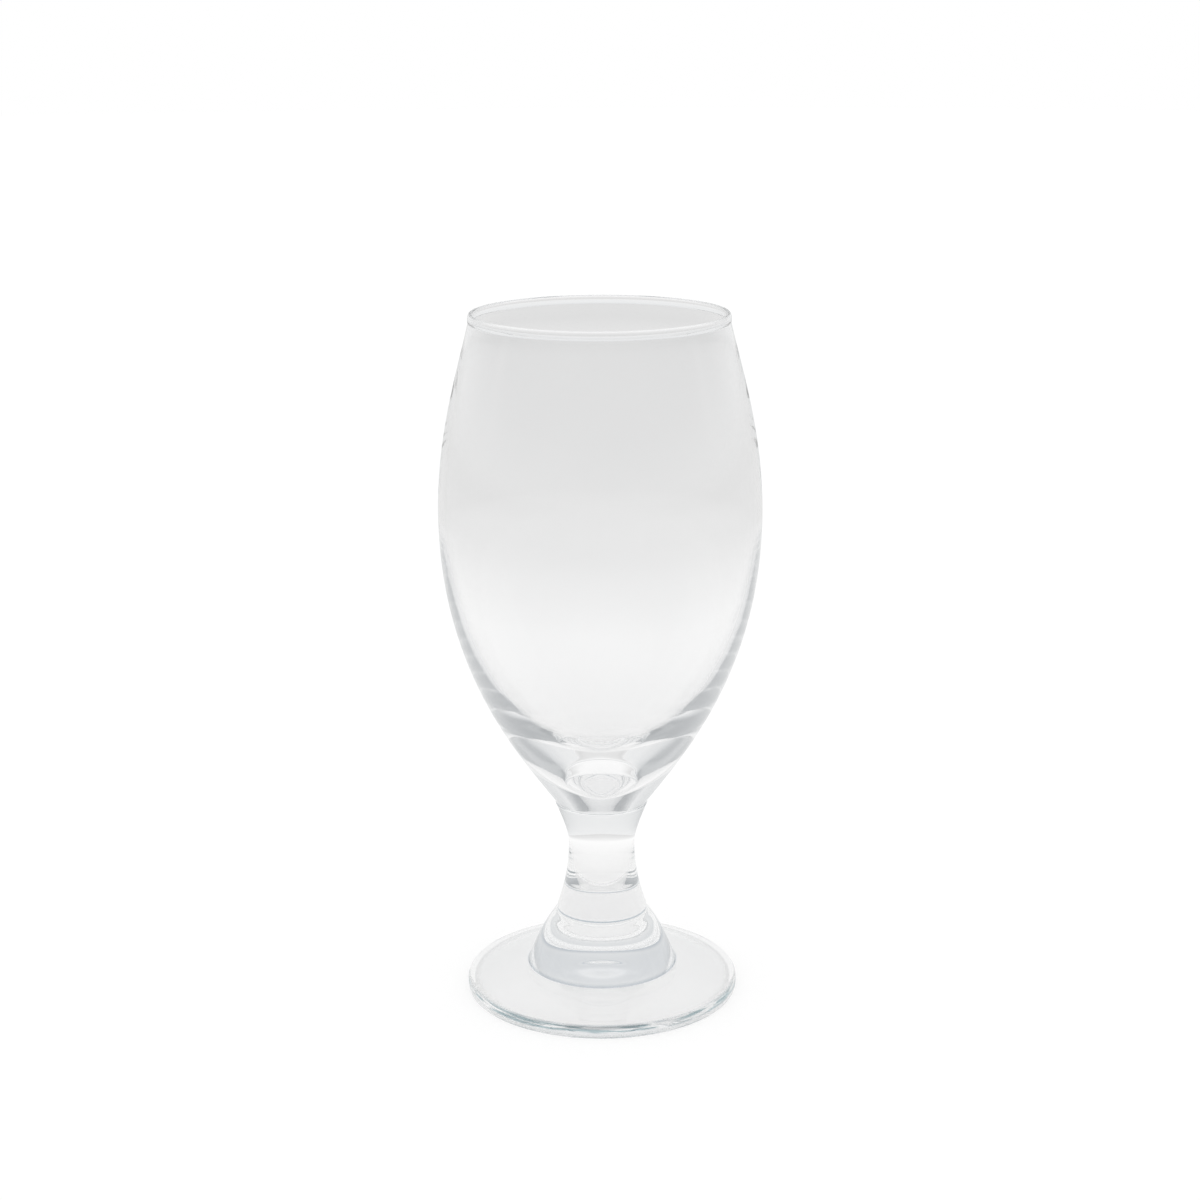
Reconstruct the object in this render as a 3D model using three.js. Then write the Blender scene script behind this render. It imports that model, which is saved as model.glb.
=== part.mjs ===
// Stemmed beer glass: a thin-walled blown bowl, a solid stem and a pressed foot, fused together.
// Millimetres, +Z up. The origin is on the table, at the middle of the foot.
import * as THREE from 'three';

// Foot: a rounded edge, a sloping plate, and above its crease a flare up to the joint with the stem.
// The underside is hollowed, with the shallow round mark of the press in its middle
const footRadius = 36;
const footEdgeHeight = 3.9;
const footEdgeRound = 1.4;
const plateRise = 3;
const creaseRadius = 19.8;
const flareHeight = 15.1;
const restRingWidth = 1.9;
const restRingInset = 0.5;
const undersideRise = 3.4;
const markRadius = 7;
const markDepth = 0.7;

// Stem: solid, drawn in at the waist between its joints with foot and bowl
const stemFootRadius = 11.9;
const stemBowlRadius = 12.1;
const waistRadius = 8.7;
const stemBelowWaist = 18.3;
const stemAboveWaist = 11.7;

// Weld seams: the groove that each joint leaves outside, half of it on either piece
const seamDepth = 0.2;
const seamHalfHeight = 0.3;

// Bowl: widest at the belly, drawn in to a beaded rim
const bowlBelowBelly = 77.5;
const bowlAboveBelly = 51.5;
const bellyRadius = 41.4;
const bellyWall = 1.35;
const baseThickness = 6.5;
const neckRadius = 32.95;
const lipWall = 1.2;
const lipRound = 0.7;
const beadHeight = 2.25;
const beadDepth = 0.15;

// Handles of the curves, each as shares of the way across and of the way up
const markShares = [[0.45, 0], [0.55, 1]];
const undersideShares = [[0.3, 0], [0.6, 0.3]];
const edgeLowShares = [[0.62, 0], [1, 0.32]];
const edgeHighShares = [[0, 0.55], [0.3, 0.9]];
const plateShares = [[0.34, 0.35], [0.8, 0.77]];
const flareShares = [[0.2, 0.25], [0.52, 0.7]];
const seamInShares = [[0, 0.6], [0.4, 1]];
const seamOutShares = [[0.6, 0], [1, 0.4]];
const stemLowShares = [[0.47, 0.27], [1, 0.55]];
const stemHighShares = [[0, 0.3], [0.66, 0.73]];
const bowlLowShares = [[0.3, 0.16], [1, 0.46]];
const bowlHighShares = [[0, 0.42], [0.66, 0.75]];
const beadLowShares = [[1, 0.1], [1, 0.5]];
const beadHighShares = [[0, 0.6], [0.6, 1]];
const lipShares = [[0.6, 0], [1, 0.4]];
const cavityHighShares = [[0.35, 0.22], [1, 0.6]];
const cavityWallShares = [[0, 0.24], [0.22, 0.66]];
const cavityFloorShares = [[0.2, 0.35], [0.81, 1]];

// Places along a length, as shares of it
const beadWidestShare = 0.5;
const landInnerShare = 0.3;
const landOuterShare = 0.58;
const cavityTurnRadiusShare = 0.652;
const cavityTurnHeightShare = 0.322;

// Facets
const facetsRound = 48;
const stepsShort = 3;
const stepsRound = 4;
const stepsMiddle = 8;
const stepsLong = 12;

const quarterTurn = Math.PI / 2;
const creaseHeight = footEdgeHeight + plateRise;
const footHeight = creaseHeight + flareHeight;
const stemLength = stemBelowWaist + stemAboveWaist;
const bowlHeight = bowlBelowBelly + bowlAboveBelly;
const mouthRadius = neckRadius - lipWall;

function at(radius, height) {
  return new THREE.Vector2(radius, height);
}

// Points of a smooth curve between two ends, without the last one
function curve(start, end, handleShares, steps) {
  const handles = handleShares.map(([across, up]) => at(
    THREE.MathUtils.lerp(start.x, end.x, across),
    THREE.MathUtils.lerp(start.y, end.y, up),
  ));
  const points = new THREE.CubicBezierCurve(start, ...handles, end).getPoints(steps);
  return points.slice(0, steps);
}

function glassMaterial(colour) {
  return new THREE.MeshStandardMaterial({ color: colour, roughness: 0.04, metalness: 0 });
}

// A round solid turned about the vertical axis from its half outline, bottom to top
function turned(name, outline, material, height) {
  const geometry = new THREE.LatheGeometry(outline, facetsRound);
  geometry.rotateX(quarterTurn);
  const mesh = new THREE.Mesh(geometry, material);
  mesh.name = name;
  mesh.position.z = height;
  return mesh;
}

// Outlines start on the axis below and end on it above
function footOutline() {
  const ringOuter = at(footRadius - restRingInset, 0);
  const ringInner = at(ringOuter.x - restRingWidth, 0);
  const edge = at(footRadius, footEdgeHeight / 2);
  const plateRim = at(footRadius - footEdgeRound, footEdgeHeight);
  const crease = at(creaseRadius, creaseHeight);
  const shoulder = at(stemFootRadius, footHeight - seamHalfHeight);
  const joint = at(stemFootRadius - seamDepth, footHeight);
  const mark = at(markRadius, undersideRise);
  return [
    ...curve(at(0, undersideRise + markDepth), mark, markShares, stepsRound),
    ...curve(mark, ringInner, undersideShares, stepsMiddle),
    ringInner,
    ...curve(ringOuter, edge, edgeLowShares, stepsRound),
    ...curve(edge, plateRim, edgeHighShares, stepsRound),
    ...curve(plateRim, crease, plateShares, stepsRound),
    ...curve(crease, shoulder, flareShares, stepsMiddle),
    ...curve(shoulder, joint, seamInShares, stepsShort),
    joint,
    at(0, footHeight),
  ];
}

function stemOutline() {
  const foot = at(stemFootRadius - seamDepth, 0);
  const footShoulder = at(stemFootRadius, seamHalfHeight);
  const waist = at(waistRadius, stemBelowWaist);
  const bowlShoulder = at(stemBowlRadius, stemLength - seamHalfHeight);
  const bowl = at(stemBowlRadius - seamDepth, stemLength);
  return [
    at(0, 0),
    ...curve(foot, footShoulder, seamOutShares, stepsShort),
    ...curve(footShoulder, waist, stemLowShares, stepsMiddle),
    ...curve(waist, bowlShoulder, stemHighShares, stepsMiddle),
    ...curve(bowlShoulder, bowl, seamInShares, stepsShort),
    bowl,
    at(0, stemLength),
  ];
}

function bowlOuterWall() {
  const joint = at(stemBowlRadius - seamDepth, 0);
  const shoulder = at(stemBowlRadius, seamHalfHeight);
  const belly = at(bellyRadius, bowlBelowBelly);
  const neck = at(neckRadius, bowlHeight - beadHeight);
  return [
    ...curve(joint, shoulder, seamOutShares, stepsShort),
    ...curve(shoulder, belly, bowlLowShares, stepsLong),
    ...curve(belly, neck, bowlHighShares, stepsMiddle),
    neck,
  ];
}

// The bead outside the rim, the narrow level crest and the rounded lip
function rimBead() {
  const neck = at(neckRadius, bowlHeight - beadHeight);
  const widest = at(neckRadius + beadDepth, bowlHeight - beadHeight * beadWidestShare);
  const landOuter = at(mouthRadius + lipWall * landOuterShare, bowlHeight);
  const landInner = at(mouthRadius + lipWall * landInnerShare, bowlHeight);
  const mouth = at(mouthRadius, bowlHeight - lipRound);
  return [
    ...curve(neck, widest, beadLowShares, stepsShort).slice(1),
    ...curve(widest, landOuter, beadHighShares, stepsRound),
    landOuter,
    ...curve(landInner, mouth, lipShares, stepsShort),
  ];
}

// The inside of the bowl, down from the lip: along the shoulder, past the belly, round to the floor
function cavityWall() {
  const cavityRadius = bellyRadius - bellyWall;
  const mouth = at(mouthRadius, bowlHeight - lipRound);
  const belly = at(cavityRadius, bowlBelowBelly);
  const turn = at(
    cavityRadius * cavityTurnRadiusShare,
    THREE.MathUtils.lerp(baseThickness, bowlBelowBelly, cavityTurnHeightShare),
  );
  const floor = at(0, baseThickness);
  return [
    ...curve(mouth, belly, cavityHighShares, stepsMiddle),
    ...curve(belly, turn, cavityWallShares, stepsMiddle),
    ...curve(turn, floor, cavityFloorShares, stepsMiddle),
    floor,
  ];
}

function bowlOutline() {
  return [at(0, 0), ...bowlOuterWall(), ...rimBead(), ...cavityWall()];
}

const glass = new THREE.Group();
glass.add(turned('foot', footOutline(), glassMaterial(0xdfe9e6), 0));
glass.add(turned('stem', stemOutline(), glassMaterial(0xe6ecea), footHeight));
glass.add(turned('bowl', bowlOutline(), glassMaterial(0xebefee), footHeight + stemLength));

export default glass;
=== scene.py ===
"""Looks of the stemmed beer glass: clear soda-lime glass on a white table, in soft studio light.

Metres, +Z up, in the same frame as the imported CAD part. Each of the three pieces is a smooth solid turned
from the half outline of its own CAD node.
"""
import math
import random

import bmesh
import bpy
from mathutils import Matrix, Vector


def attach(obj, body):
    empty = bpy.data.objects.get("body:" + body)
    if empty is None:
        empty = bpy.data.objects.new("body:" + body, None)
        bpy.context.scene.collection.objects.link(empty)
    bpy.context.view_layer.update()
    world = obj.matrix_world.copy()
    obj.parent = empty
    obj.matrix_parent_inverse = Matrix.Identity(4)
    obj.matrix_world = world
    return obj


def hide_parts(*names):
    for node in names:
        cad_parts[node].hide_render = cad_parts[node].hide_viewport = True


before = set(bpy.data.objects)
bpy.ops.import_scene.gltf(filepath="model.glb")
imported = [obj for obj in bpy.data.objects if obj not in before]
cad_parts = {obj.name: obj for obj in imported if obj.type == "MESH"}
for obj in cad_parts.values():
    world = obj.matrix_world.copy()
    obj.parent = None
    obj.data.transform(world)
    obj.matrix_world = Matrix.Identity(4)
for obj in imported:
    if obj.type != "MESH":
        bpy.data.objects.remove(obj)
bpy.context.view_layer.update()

# Lengths that count as nothing, and the digits to which two points of an outline are compared
TINY = 1e-6
OUTLINE_DIGITS = 7

# Turning: facets round the axis, steps between two outline points, and the turn that counts as a corner
ROUND_FACETS = 256
OUTLINE_STEPS = 5
CORNER_DEGREES = 34

# A blown wall isn't quite round inside, low in the bowl: how far it strays, up to what share of the way to
# the lip, and its waves of (turns round, rise, start)
WALL_STRAY = 0.0001
STRAY_END = 0.42
WAVE_TURNS = (1, 2, 2, 3, 4, 5)
MOST_RISE = 16
dice = random.Random(8)
WALL_WAVES = [
    (turns, dice.uniform(-MOST_RISE, MOST_RISE), dice.uniform(0, 2 * math.pi)) for turns in WAVE_TURNS
]

# Camera, fitted to the photograph's ellipses at rim and foot
PHOTO_PIXELS = 1200
FOCAL_PIXELS = 2360
SENSOR_WIDTH_MM = 36
CAMERA_DISTANCE = 0.5884
CAMERA_HEIGHT = 0.2648
CAMERA_SIDE = 0.0005
CAMERA_DOWN_DEGREES = 15.06
CAMERA_ROLL_DEGREES = 0.24
CAMERA_CLIP_START = 0.01

# Glass
GLASS_IOR = 1.52
GLASS_TINTS = {"foot": (0.977, 0.977, 0.976), "stem": (0.986, 0.986, 0.985), "bowl": (0.974, 0.974, 0.974)}

# Cords of a melt that isn't quite even
CORD_SCALE = 45
CORD_DETAIL = 2
CORD_TINT = 0.985

# The foot's edge is green in streaks along it, partly the green of thick glass and partly painted shade,
# strongest at the front, and the bend up from the ring has a thin line of painted contact shadow
EDGE_BY_RADIUS = [(0.0346, 0), (0.0353, 1)]
EDGE_AND_CONTACT_SHADOW_BY_HEIGHT = [
    (0.0001, 0), (0.0002, 0.5), (0.0005, 0.5), (0.0007, 0),
    (0.0014, 0), (0.0018, 1), (0.0031, 1), (0.0037, 0),
]
EDGE_SHADE_BY_DEPTH = [(-0.01, 1), (0.02, 0.15)]
EDGE_SCALE = 110
EDGE_STREAK = (1, 1, 14)
EDGE_DETAIL = 2
EDGE_BY_NOISE = [(0.42, 0), (0.56, 1)]
EDGE_GREEN_AND_SHADE = (0.24, 0.35, 0.38)

# The flare's thick glass is painted with a band of shade, and the foot's crease and the two seams with dark
# lines of painted shade
FLARE_SHADE_BY_HEIGHT = [(0.007, 0), (0.009, 1), (0.014, 1), (0.02, 0)]
FLARE_SHADE_COLOUR = (0.86, 0.875, 0.89)
CREASE_SHADE_BY_RADIUS = [(0.0194, 0), (0.0197, 1), (0.0198, 1), (0.0201, 0)]
CREASE_SHADE_BY_HEIGHT = [(0.005, 0), (0.006, 1), (0.008, 1), (0.009, 0)]
CREASE_SHADE_COLOUR = (0.52, 0.57, 0.62)
SEAM_SHADE_BY_DISTANCE = [(0.0001, 1), (0.0003, 0)]
SEAM_SHADE_COLOURS = {"foot": (0.34, 0.41, 0.47), "bowl": (0.93, 0.95, 0.96)}

# A cloth's faint wipes, the rest ring that tables have rubbed, and the slight waves that tools leave
WIPE_SCALE = 60
WIPE_DETAIL = 3
WIPE_ROUGHNESS = [(0.45, 0), (0.75, 0.012)]
WEAR_SCALE = 1500
WEAR_DETAIL = 2
WEAR_BY_HEIGHT = [(0.0001, 0.6), (0.0004, 0)]
WAVE_SCALE = 110
WAVE_DETAIL = 1
WAVE_DEPTH = 0.00001

LIGHT_BOUNCES = 128

# Entries and result of a Mix node where it mixes colours
MIX_COLOURS = (6, 7)
MIX_COLOUR_RESULT = 2

# Table: how white it looks by itself, and through glass by distance from the middle
TABLE_RADIUS = 4.0
TABLE_FACETS = 96
TABLE_COLOUR = 0.25
TABLE_WHITE = 0.78
# Through glass the table is painted light: a painted pool of light under the foot, a ring of painted shade
# just round it, and dimmer farther off
TABLE_PAINTED_LIGHT_BY_DISTANCE = [
    (0, 0.81), (0.033, 0.78), (0.04, 0.63), (0.055, 0.68), (0.1, 0.73), (0.2, 0.765), (0.25, 0.76),
    (0.31, 0.705), (0.4, 0.64), (0.5, 0.615), (0.58, 0.565), (1, 0.55), (1.15, 0.53), (1.3, 0.49), (1.5, 0.5),
    (2.5, 0.6), (4, 0.65),
]

# Room as glass shows it: its level by the height of the direction looked in, times its level by depth, away
# from the camera. Depth counts less near the horizon, and a darker room is a little bluer
ROOM_BY_HEIGHT = [
    (-1, 0.9), (0, 0.9), (0.1, 0.87), (0.3, 0.82), (0.45, 0.86), (0.58, 0.97), (0.72, 0.94), (0.85, 0.75),
    (1, 0.67),
]
ROOM_BY_DEPTH = [
    (-1, 0.62), (-0.3, 0.56), (-0.1, 0.58), (-0.04, 0.74), (0.04, 0.74), (0.1, 0.62), (0.3, 0.68),
    (0.6, 0.92), (0.9, 1.0),
]
DEPTH_BY_HEIGHT = [(0, 0), (0.2, 1)]
SHADE_COLOUR = (0.88, 0.95, 1.0)
WHITE = (1.0, 1.0, 1.0)


def new_object(name, mesh):
    piece = bpy.data.objects.new(name, mesh)
    bpy.context.scene.collection.objects.link(piece)
    return piece


# Outline of a turned CAD node
def half_outline(node):
    """(radius, height) of the CAD solid's outline, in order from the axis below to the axis above."""
    links = {}
    mesh = node.data
    for edge in mesh.edges:
        ends = [mesh.vertices[i].co for i in edge.vertices]
        if all(abs(end.y) < TINY and end.x > -TINY for end in ends):
            points = [(max(end.x, 0), end.z) for end in ends]
            a, b = [tuple(round(size, OUTLINE_DIGITS) for size in point) for point in points]
            links.setdefault(a, set()).add(b)
            links.setdefault(b, set()).add(a)
    start = min((point for point in links if point[0] == 0), key=lambda point: point[1])
    outline = [start]
    while True:
        onward = [point for point in links[outline[-1]] if point not in outline]
        if not onward:
            return outline
        outline.append(onward[0])


def is_joint(start, end):
    """A fused joint is a level line between the axis and the outline: the glass runs on through it."""
    return min(start[0], end[0]) < TINY and abs(start[1] - end[1]) < TINY


def turn_at(before, point, after):
    first = math.atan2(point[1] - before[1], point[0] - before[0])
    second = math.atan2(after[1] - point[1], after[0] - point[0])
    return abs((second - first + math.pi) % (2 * math.pi) - math.pi)


def smooth_stretch(points):
    """Points of a centripetal spline through a stretch of the outline that has no corner."""
    if len(points) < 3:
        return [tuple(point) for point in points]
    known = [Vector(point) for point in points]
    known = [2 * known[0] - known[1]] + known + [2 * known[-1] - known[-2]]
    out = []
    for a, b, c, d in zip(known, known[1:], known[2:], known[3:]):
        knots = [0]
        for first, second in ((a, b), (b, c), (c, d)):
            knots.append(knots[-1] + math.sqrt((second - first).length))
        for step in range(OUTLINE_STEPS):
            t = knots[1] + (knots[2] - knots[1]) * step / OUTLINE_STEPS
            ab = a.lerp(b, (t - knots[0]) / (knots[1] - knots[0]))
            bc = b.lerp(c, (t - knots[1]) / (knots[2] - knots[1]))
            cd = c.lerp(d, (t - knots[2]) / (knots[3] - knots[2]))
            abc = ab.lerp(bc, (t - knots[0]) / (knots[2] - knots[0]))
            bcd = bc.lerp(cd, (t - knots[1]) / (knots[3] - knots[1]))
            out.append(tuple(abc.lerp(bcd, (t - knots[1]) / (knots[2] - knots[1]))))
    out.append(tuple(points[-1]))
    return out


def smooth_outline(points):
    """The outline as stretches of fine points, one list between each two corners."""
    corner = math.radians(CORNER_DEGREES)
    stretches = []
    current = [points[0]]
    for before, point, after in zip(points, points[1:], points[2:]):
        current.append(point)
        if turn_at(before, point, after) > corner or is_joint(before, point) or is_joint(point, after):
            stretches.append(current)
            current = [point]
    current.append(points[-1])
    stretches.append(current)
    return [smooth_stretch(stretch) for stretch in stretches]


def stray(angle, share):
    """How far a blown wall strays from round, at a share of the way up from its floor to its lip."""
    if share > STRAY_END:
        return 0
    waves = [math.sin(turns * angle + rise * share + start) for turns, rise, start in WALL_WAVES]
    return WALL_STRAY * math.sin(math.pi * share / STRAY_END) ** 2 * sum(waves) / len(waves)


def ring(bm, radius, height, share=0):
    if radius < TINY:
        return [bm.verts.new((0, 0, height))]
    verts = []
    for step in range(ROUND_FACETS):
        angle = 2 * math.pi * step / ROUND_FACETS
        reach = radius + stray(angle, share)
        verts.append(bm.verts.new((reach * math.cos(angle), reach * math.sin(angle), height)))
    return verts


def sharpen(bm, corner_ring):
    for first, second in zip(corner_ring, corner_ring[1:] + corner_ring[:1]):
        edge = bm.edges.get((first, second)) if first is not second else None
        if edge:
            edge.smooth = False


def band(bm, low, high, joint):
    """Faces between two rings, either of which may be a single point on the axis."""
    for k in range(ROUND_FACETS):
        after = (k + 1) % ROUND_FACETS
        if len(low) == 1:
            corners = (low[0], high[after], high[k])
        elif len(high) == 1:
            corners = (low[k], low[after], high[0])
        else:
            corners = (low[k], low[after], high[after], high[k])
        face = bm.faces.new(corners)
        face.smooth = True
        face.material_index = int(joint)


def outline_heights(outline):
    heights = [height for radius, height in outline]
    return min(heights), max(heights)


def turned_piece(name, outline):
    """A closed solid of revolution. Its joints are flat, and its corners are sharp."""
    lowest, highest = outline_heights(outline)
    floor = outline[-1][1]
    bm = bmesh.new()
    rings = []
    inside = False
    for stretch in smooth_outline(outline):
        joint = is_joint(stretch[0], stretch[-1])
        first = len(rings)
        for radius, height in stretch[min(first, 1):]:
            share = (height - floor) / (highest - floor) if inside else 0
            rings.append(ring(bm, radius, min(max(height, lowest), highest), share))
            inside = inside or (height > highest - TINY and floor < highest - TINY)
        for low, high in zip(rings[max(first - 1, 0):], rings[max(first, 1):]):
            band(bm, low, high, joint)
        if first:
            sharpen(bm, rings[first - 1])
    mesh = bpy.data.meshes.new(name)
    bm.to_mesh(mesh)
    bm.free()
    return new_object(name, mesh)


# Nodes
def computed(tree, operation, first, second=0):
    """The result of a Math node on two sockets or numbers."""
    node = tree.nodes.new("ShaderNodeMath")
    node.operation = operation
    for entry, value in zip(node.inputs, (first, second)):
        if isinstance(value, (int, float)):
            entry.default_value = value
        else:
            tree.links.new(value, entry)
    return node.outputs[0]


def ramp(tree, value, stops):
    """The level that a value has on a line through (value, level) stops."""
    low, high = stops[0][0], stops[-1][0]
    spread = tree.nodes.new("ShaderNodeMapRange")
    spread.inputs["From Min"].default_value = low
    spread.inputs["From Max"].default_value = high
    line = tree.nodes.new("ShaderNodeValToRGB")
    elements = line.color_ramp.elements
    while len(elements) < len(stops):
        elements.new(0.5)
    for element, (place, level) in zip(elements, stops):
        element.position = (place - low) / (high - low)
        element.color = (level, level, level, 1)
    tree.links.new(value, spread.inputs["Value"])
    tree.links.new(spread.outputs[0], line.inputs[0])
    return line.outputs["Color"]


def noise(tree, place, scale, detail):
    node = tree.nodes.new("ShaderNodeTexNoise")
    node.inputs["Scale"].default_value = scale
    node.inputs["Detail"].default_value = detail
    tree.links.new(place, node.inputs["Vector"])
    return node.outputs["Fac"]


def mixed_colour(tree, factor, first, second):
    """A mix of two colours, either of which may be a socket."""
    node = tree.nodes.new("ShaderNodeMix")
    node.data_type = "RGBA"
    tree.links.new(factor, node.inputs["Factor"])
    for entry, value in zip(MIX_COLOURS, (first, second)):
        if isinstance(value, tuple):
            node.inputs[entry].default_value = (*value, 1)
        else:
            tree.links.new(value, node.inputs[entry])
    return node.outputs[MIX_COLOUR_RESULT]


# Materials
def shader(name):
    material = bpy.data.materials.new(name)
    material.use_nodes = True
    tree = material.node_tree
    return material, tree, tree.nodes["Principled BSDF"]


def clear_glass(name, tint, seams):
    """Clear glass by place: green with painted shade at the foot's edge, most at the front, and a thin
    painted contact shadow low on it; painted shade on its flare, crease and seams; faintly wavy, and rubbed
    dull where it stands."""
    material, tree, surface = shader(name)
    place = tree.nodes.new("ShaderNodeTexCoord").outputs["Object"]
    split = tree.nodes.new("ShaderNodeSeparateXYZ")
    tree.links.new(place, split.inputs[0])
    height = split.outputs["Z"]
    across = computed(tree, "MULTIPLY", split.outputs["X"], split.outputs["X"])
    deep = computed(tree, "MULTIPLY", split.outputs["Y"], split.outputs["Y"])
    radius = computed(tree, "SQRT", computed(tree, "ADD", across, deep))

    cords = noise(tree, place, CORD_SCALE, CORD_DETAIL)
    colour = mixed_colour(tree, cords, tint, tuple(level * CORD_TINT for level in tint))
    # Foot's edge: the green of thick glass with painted shade, stronger at the front, and a thin painted
    # contact shadow low down
    green_and_shade_at_edge = ramp(tree, height, EDGE_AND_CONTACT_SHADOW_BY_HEIGHT)
    green_and_shade_at_edge = computed(tree, "MULTIPLY", green_and_shade_at_edge, ramp(tree, radius, EDGE_BY_RADIUS))
    green_and_shade_at_edge = computed(tree, "MULTIPLY", green_and_shade_at_edge, ramp(tree, split.outputs["Y"], EDGE_SHADE_BY_DEPTH))
    drawn = tree.nodes.new("ShaderNodeVectorMath")
    drawn.operation = "MULTIPLY"
    drawn.inputs[1].default_value = EDGE_STREAK
    tree.links.new(place, drawn.inputs[0])
    streaks = noise(tree, drawn.outputs["Vector"], EDGE_SCALE, EDGE_DETAIL)
    green_and_shade_at_edge = computed(tree, "MULTIPLY", green_and_shade_at_edge, ramp(tree, streaks, EDGE_BY_NOISE))
    colour = mixed_colour(tree, green_and_shade_at_edge, colour, EDGE_GREEN_AND_SHADE)
    # Painted shade: a darker band on the flare
    colour = mixed_colour(tree, ramp(tree, height, FLARE_SHADE_BY_HEIGHT), colour, FLARE_SHADE_COLOUR)
    # Painted shade: a dark line in the foot's crease
    shade_in_crease = ramp(tree, height, CREASE_SHADE_BY_HEIGHT)
    shade_in_crease = computed(tree, "MULTIPLY", shade_in_crease, ramp(tree, radius, CREASE_SHADE_BY_RADIUS))
    colour = mixed_colour(tree, shade_in_crease, colour, CREASE_SHADE_COLOUR)
    # Painted shade: dark lines at the two seams, strong at the foot and faint at the bowl
    for seam, seam_shade_colour in zip(seams, SEAM_SHADE_COLOURS.values()):
        off_seam = computed(tree, "ABSOLUTE", computed(tree, "SUBTRACT", height, seam))
        colour = mixed_colour(tree, ramp(tree, off_seam, SEAM_SHADE_BY_DISTANCE), colour, seam_shade_colour)
    tree.links.new(colour, surface.inputs["Base Color"])

    wiped = ramp(tree, noise(tree, place, WIPE_SCALE, WIPE_DETAIL), WIPE_ROUGHNESS)
    worn = noise(tree, place, WEAR_SCALE, WEAR_DETAIL)
    worn = computed(tree, "MULTIPLY", ramp(tree, height, WEAR_BY_HEIGHT), worn)
    tree.links.new(computed(tree, "ADD", wiped, worn), surface.inputs["Roughness"])

    bump = tree.nodes.new("ShaderNodeBump")
    bump.inputs["Distance"].default_value = WAVE_DEPTH
    tree.links.new(noise(tree, place, WAVE_SCALE, WAVE_DETAIL), bump.inputs["Height"])
    tree.links.new(bump.outputs["Normal"], surface.inputs["Normal"])

    surface.inputs["IOR"].default_value = GLASS_IOR
    surface.inputs["Transmission Weight"].default_value = 1
    return material


def fused_joint():
    """Where two pieces have melted together no surface is left to see."""
    material, tree, surface = shader("fused_joint")
    surface.inputs["Alpha"].default_value = 0
    return material


# Studio
def add_table():
    """A white table: its own colour takes the glass's shadow, and the rest of its white is only seen."""
    mesh = bpy.data.meshes.new("table")
    bm = bmesh.new()
    bmesh.ops.create_circle(bm, cap_ends=True, segments=TABLE_FACETS, radius=TABLE_RADIUS)
    bm.to_mesh(mesh)
    bm.free()
    table = new_object("table", mesh)
    material, tree, surface = shader("white_table")
    surface.inputs["Base Color"].default_value = (TABLE_COLOUR, TABLE_COLOUR, TABLE_COLOUR, 1)
    surface.inputs["Roughness"].default_value = 1
    surface.inputs["Specular IOR Level"].default_value = 0
    surface.inputs["Emission Color"].default_value = (1, 1, 1, 1)
    place = tree.nodes.new("ShaderNodeTexCoord")
    distance = tree.nodes.new("ShaderNodeVectorMath")
    distance.operation = "LENGTH"
    tree.links.new(place.outputs["Object"], distance.inputs[0])
    # Through glass: a painted pool of light under the foot and painted shade just round it
    white = ramp(tree, distance.outputs["Value"], TABLE_PAINTED_LIGHT_BY_DISTANCE)
    path = tree.nodes.new("ShaderNodeLightPath")
    in_glass = computed(tree, "MAXIMUM", path.outputs["Is Glossy Ray"], path.outputs["Is Transmission Ray"])
    in_glass = computed(tree, "MULTIPLY", in_glass, white)
    direct = computed(tree, "MULTIPLY", path.outputs["Is Camera Ray"], TABLE_WHITE)
    tree.links.new(computed(tree, "ADD", direct, in_glass), surface.inputs["Emission Strength"])
    mesh.materials.append(material)


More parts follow.
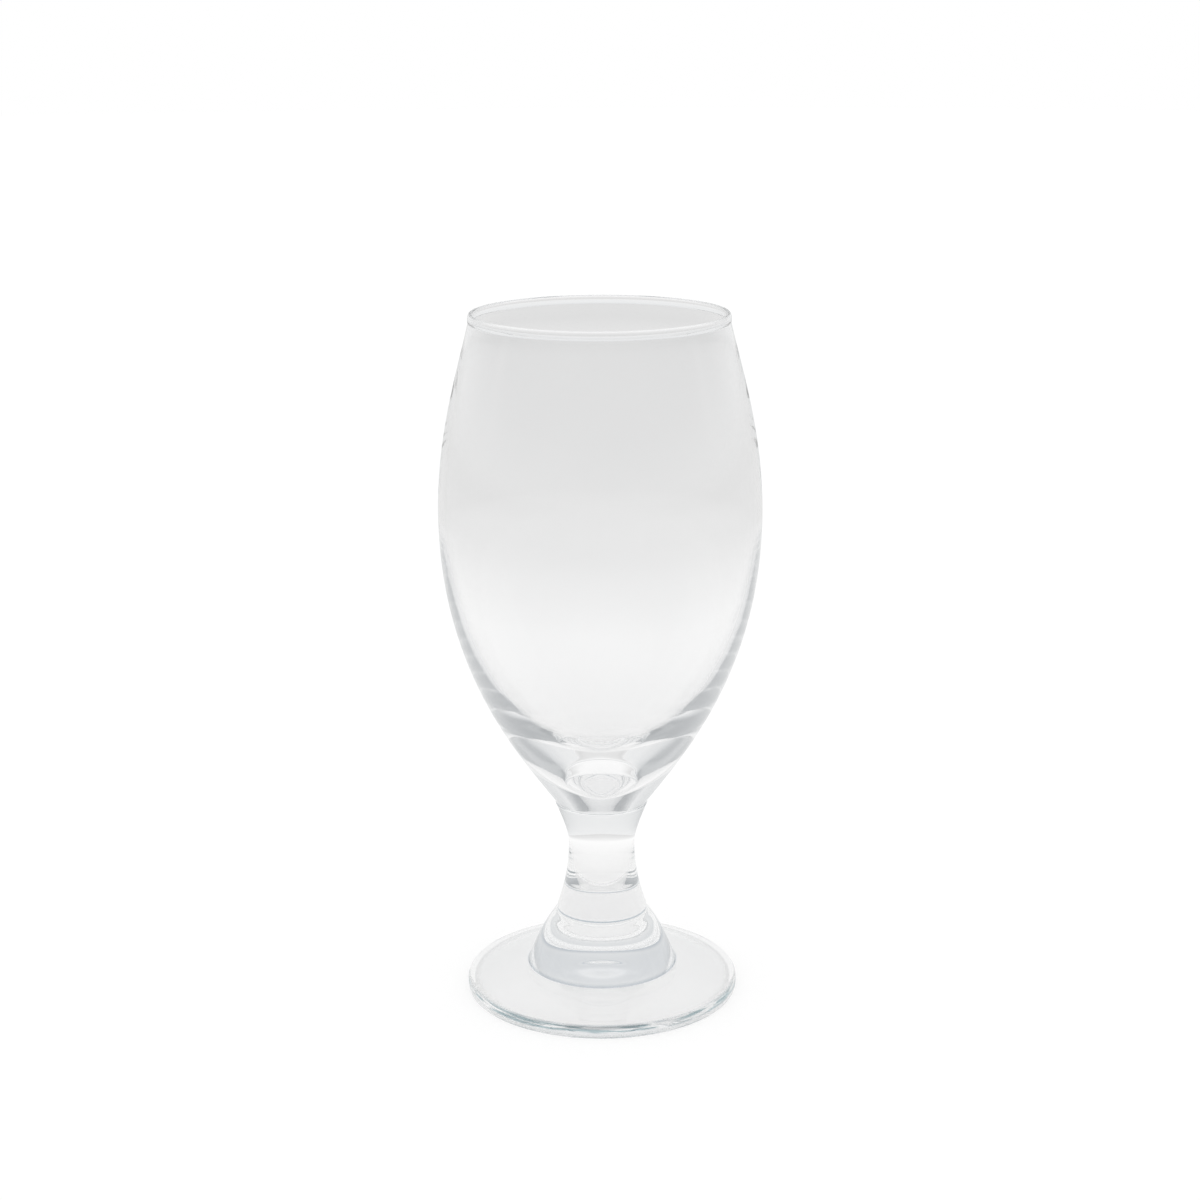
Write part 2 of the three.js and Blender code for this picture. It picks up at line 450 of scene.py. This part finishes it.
def add_world():
    """Plain soft white light. Glass shows the room that it comes from: pale behind, darker at the sides and
    behind the camera."""
    world = bpy.data.worlds.new("studio")
    bpy.context.scene.world = world
    world.use_nodes = True
    tree = world.node_tree
    background = tree.nodes["Background"]
    place = tree.nodes.new("ShaderNodeTexCoord")
    split = tree.nodes.new("ShaderNodeSeparateXYZ")
    tree.links.new(place.outputs["Generated"], split.inputs[0])
    by_height = ramp(tree, split.outputs["Z"], ROOM_BY_HEIGHT)
    by_depth = tree.nodes.new("ShaderNodeMix")
    tree.links.new(ramp(tree, split.outputs["Z"], DEPTH_BY_HEIGHT), by_depth.inputs["Factor"])
    by_depth.inputs["A"].default_value = 1
    tree.links.new(ramp(tree, split.outputs["Y"], ROOM_BY_DEPTH), by_depth.inputs["B"])
    room = computed(tree, "MULTIPLY", by_height, by_depth.outputs["Result"])
    path = tree.nodes.new("ShaderNodeLightPath")
    in_glass = computed(tree, "MAXIMUM", path.outputs["Is Glossy Ray"], path.outputs["Is Transmission Ray"])
    mix = tree.nodes.new("ShaderNodeMix")
    tree.links.new(in_glass, mix.inputs["Factor"])
    mix.inputs["A"].default_value = 1
    tree.links.new(room, mix.inputs["B"])
    tree.links.new(mix.outputs["Result"], background.inputs["Strength"])
    tree.links.new(mixed_colour(tree, mix.outputs["Result"], SHADE_COLOUR, WHITE), background.inputs["Color"])


def add_camera():
    data = bpy.data.cameras.new("camera")
    data.sensor_width = SENSOR_WIDTH_MM
    data.lens = FOCAL_PIXELS / PHOTO_PIXELS * SENSOR_WIDTH_MM
    data.clip_start = CAMERA_CLIP_START
    camera = new_object("camera", data)
    camera.location = (CAMERA_SIDE, -CAMERA_DISTANCE, CAMERA_HEIGHT)
    camera.rotation_euler = (math.radians(90 - CAMERA_DOWN_DEGREES), math.radians(CAMERA_ROLL_DEGREES), 0)
    bpy.context.scene.camera = camera


def light_paths():
    """Thick glass passes light on many times before it leaves."""
    cycles = bpy.context.scene.cycles
    cycles.max_bounces = LIGHT_BOUNCES
    cycles.transmission_bounces = LIGHT_BOUNCES
    cycles.glossy_bounces = LIGHT_BOUNCES
    cycles.transparent_max_bounces = LIGHT_BOUNCES


def main():
    joint = fused_joint()
    outlines = {name: half_outline(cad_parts[name]) for name in GLASS_TINTS}
    seams = outline_heights(outlines["stem"])
    for name, tint in GLASS_TINTS.items():
        piece = turned_piece(f"glass_{name}", outlines[name])
        piece.data.materials.append(clear_glass(f"clear_glass_{name}", tint, seams))
        piece.data.materials.append(joint)
        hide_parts(name)
        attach(piece, "root")
    add_table()
    add_world()
    add_camera()
    light_paths()
    bpy.context.scene.view_settings.view_transform = "Standard"


main()
